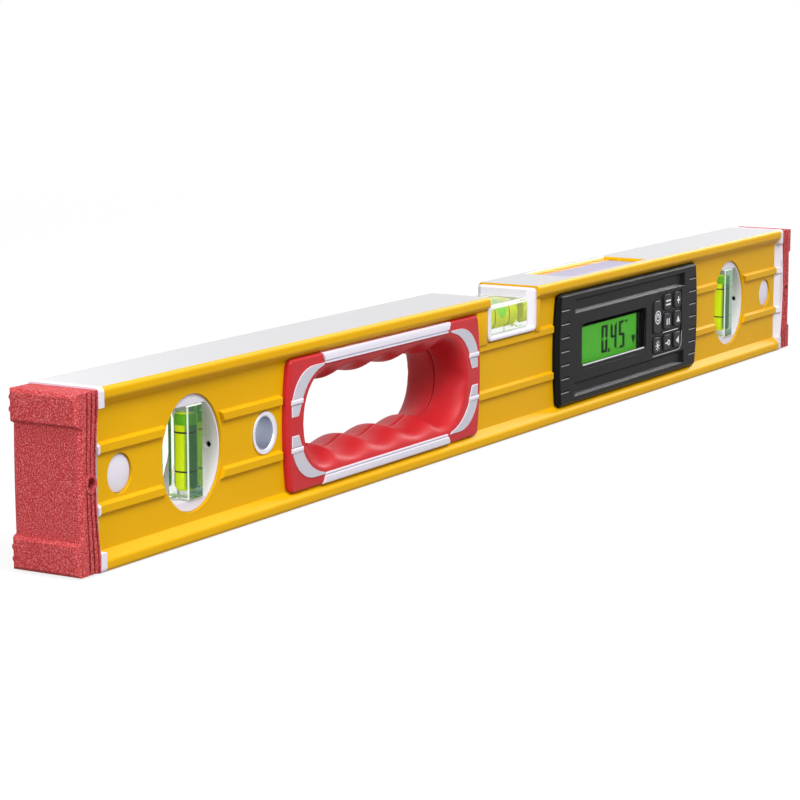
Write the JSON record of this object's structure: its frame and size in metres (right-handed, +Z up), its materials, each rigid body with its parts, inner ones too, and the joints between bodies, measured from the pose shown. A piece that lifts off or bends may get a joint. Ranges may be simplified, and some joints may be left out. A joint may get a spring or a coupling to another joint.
{
  "type": "digital spirit level",
  "caption": "Electronic box-section spirit level with level and plumb vials, a hand grip, a lit angle display with a keypad, and latched shock-absorbing end caps.",
  "frame": {"origin": "centre of the bottom measuring face, midway between the two end caps", "axes": "+X along the level towards the display end, -Y out of the display's front face, +Z up"},
  "size_m": [0.61, 0.03, 0.063],
  "materials": {
    "profile_coat": "yellow powder coat with bright milled measuring faces",
    "cap_rubber": "grained red rubber",
    "grip_rubber": "satin red rubber",
    "white_plastic": "satin",
    "sleeve_steel": "turned",
    "vial_block": "clear cast acrylic",
    "vial_fluid": "yellow-green liquid",
    "vial_bubble": "clear",
    "ring_mark": "printed ring",
    "module_plastic": "fine grained black",
    "key_plastic": "black with light marks",
    "clear_window": "polished",
    "screen_glass": "green lit display",
    "light_plastic": "lit",
    "board_laminate": "green solder mask",
    "mat_rubber": "matt",
    "seal_rubber": "matt",
    "holder_plastic": "matt",
    "cell_case": "plain sleeve",
    "contact_brass": "plated",
    "sensor_case": "plain",
    "screw_steel": "zinc plated"
  },
  "bodies": {
    "level_body": {"profile": "profile_coat", "hang_sleeve": "sleeve_steel", "level_cradle": "white_plastic", "level_block": "vial_block", "level_rings": "ring_mark", "level_fluid": "vial_fluid", "module_housing": "module_plastic", "module_back": "module_plastic", "module_seal": "seal_rubber", "battery_cover": "module_plastic", "cover_screws": "screw_steel", "housing_screws": "screw_steel", "screen_window": "clear_window", "screen_glass": "screen_glass", "backlight": "light_plastic", "circuit_board": "board_laminate", "keypad_mat": "mat_rubber", "battery_holder": "holder_plastic", "battery_upper": "cell_case", "battery_lower": "cell_case", "battery_contacts": "contact_brass", "tilt_sensor": "sensor_case", "buzzer": "holder_plastic", "top_pane": "clear_window", "top_glass": "screen_glass", "top_carrier": "holder_plastic", "plumb_housing_left": "white_plastic", "plumb_block_left": "vial_block", "plumb_rings_left": "ring_mark", "plumb_fluid_left": "vial_fluid", "plumb_housing_right": "white_plastic", "plumb_block_right": "vial_block", "plumb_rings_right": "ring_mark", "plumb_fluid_right": "vial_fluid", "handle_frame_front": "white_plastic", "handle_grip_front": "grip_rubber", "handle_frame_rear": "white_plastic", "handle_grip_rear": "grip_rubber"},
    "end_cap_left": {"end_bumper_left": "cap_rubber", "end_plug_left": "white_plastic"},
    "latch_left_front": {"latch_left_front": "white_plastic"},
    "latch_left_rear": {"latch_left_rear": "white_plastic"},
    "plumb_bubble_left": {"plumb_bubble_left": "vial_bubble"},
    "end_cap_right": {"end_bumper_right": "cap_rubber", "end_plug_right": "white_plastic"},
    "latch_right_front": {"latch_right_front": "white_plastic"},
    "latch_right_rear": {"latch_right_rear": "white_plastic"},
    "plumb_bubble_right": {"plumb_bubble_right": "vial_bubble"},
    "level_bubble": {"level_bubble": "vial_bubble"},
    "key_power": {"key_power": "key_plastic"},
    "key_mode": {"key_mode": "key_plastic"},
    "key_calibrate": {"key_calibrate": "key_plastic"},
    "key_hold": {"key_hold": "key_plastic"},
    "key_reference": {"key_reference": "key_plastic"},
    "key_light": {"key_light": "key_plastic"},
    "key_sound": {"key_sound": "key_plastic"},
    "key_tone": {"key_tone": "key_plastic"}
  },
  "joints": [
    {"name": "end_cap_left_pull", "type": "slide", "parent": "level_body", "child": "end_cap_left", "axis": [-1, 0, 0], "range_m": [0, 0.045], "deforming": ["latch_left_front", "latch_left_rear"]},
    {"name": "latch_left_front_press", "type": "hinge", "parent": "end_cap_left", "child": "latch_left_front", "pos_m": [-0.2884, -0.0084, 0.0315], "axis": [0, 0, 1], "range_deg": [0, 16], "stiffness_Nm_per_rad": 0.2},
    {"name": "latch_left_rear_press", "type": "hinge", "parent": "end_cap_left", "child": "latch_left_rear", "pos_m": [-0.2884, 0.0084, 0.0315], "axis": [0, 0, -1], "range_deg": [0, 16], "stiffness_Nm_per_rad": 0.2},
    {"name": "plumb_bubble_left_rise", "type": "slide", "parent": "level_body", "child": "plumb_bubble_left", "axis": [0, 0, 1], "range_m": [-0.022, 0], "stiffness_N_per_m": 5, "springref_m": 0.006, "deforming": ["plumb_fluid_left"]},
    {"name": "end_cap_right_pull", "type": "slide", "parent": "level_body", "child": "end_cap_right", "axis": [1, 0, 0], "range_m": [0, 0.045], "deforming": ["latch_right_front", "latch_right_rear"]},
    {"name": "latch_right_front_press", "type": "hinge", "parent": "end_cap_right", "child": "latch_right_front", "pos_m": [0.2884, -0.0084, 0.0315], "axis": [0, 0, -1], "range_deg": [0, 16], "stiffness_Nm_per_rad": 0.2},
    {"name": "latch_right_rear_press", "type": "hinge", "parent": "end_cap_right", "child": "latch_right_rear", "pos_m": [0.2884, 0.0084, 0.0315], "axis": [0, 0, 1], "range_deg": [0, 16], "stiffness_Nm_per_rad": 0.2},
    {"name": "plumb_bubble_right_rise", "type": "slide", "parent": "level_body", "child": "plumb_bubble_right", "axis": [0, 0, 1], "range_m": [-0.022, 0], "stiffness_N_per_m": 5, "springref_m": 0.006, "deforming": ["plumb_fluid_right"]},
    {"name": "level_bubble_run", "type": "slide", "parent": "level_body", "child": "level_bubble", "axis": [1, 0, 0], "range_m": [-0.007, 0.007], "stiffness_N_per_m": 2, "deforming": ["level_fluid"]},
    {"name": "key_power_press", "type": "slide", "parent": "level_body", "child": "key_power", "axis": [0, 1, 0], "range_m": [0, 0.0008], "stiffness_N_per_m": 2000},
    {"name": "key_mode_press", "type": "slide", "parent": "level_body", "child": "key_mode", "axis": [0, 1, 0], "range_m": [0, 0.0008], "stiffness_N_per_m": 2000},
    {"name": "key_calibrate_press", "type": "slide", "parent": "level_body", "child": "key_calibrate", "axis": [0, 1, 0], "range_m": [0, 0.0008], "stiffness_N_per_m": 2000},
    {"name": "key_hold_press", "type": "slide", "parent": "level_body", "child": "key_hold", "axis": [0, 1, 0], "range_m": [0, 0.0008], "stiffness_N_per_m": 2000},
    {"name": "key_reference_press", "type": "slide", "parent": "level_body", "child": "key_reference", "axis": [0, 1, 0], "range_m": [0, 0.0008], "stiffness_N_per_m": 2000},
    {"name": "key_light_press", "type": "slide", "parent": "level_body", "child": "key_light", "axis": [0, 1, 0], "range_m": [0, 0.0008], "stiffness_N_per_m": 2000},
    {"name": "key_sound_press", "type": "slide", "parent": "level_body", "child": "key_sound", "axis": [0, 1, 0], "range_m": [0, 0.0008], "stiffness_N_per_m": 2000},
    {"name": "key_tone_press", "type": "slide", "parent": "level_body", "child": "key_tone", "axis": [0, 1, 0], "range_m": [0, 0.0008], "stiffness_N_per_m": 2000}
  ]
}
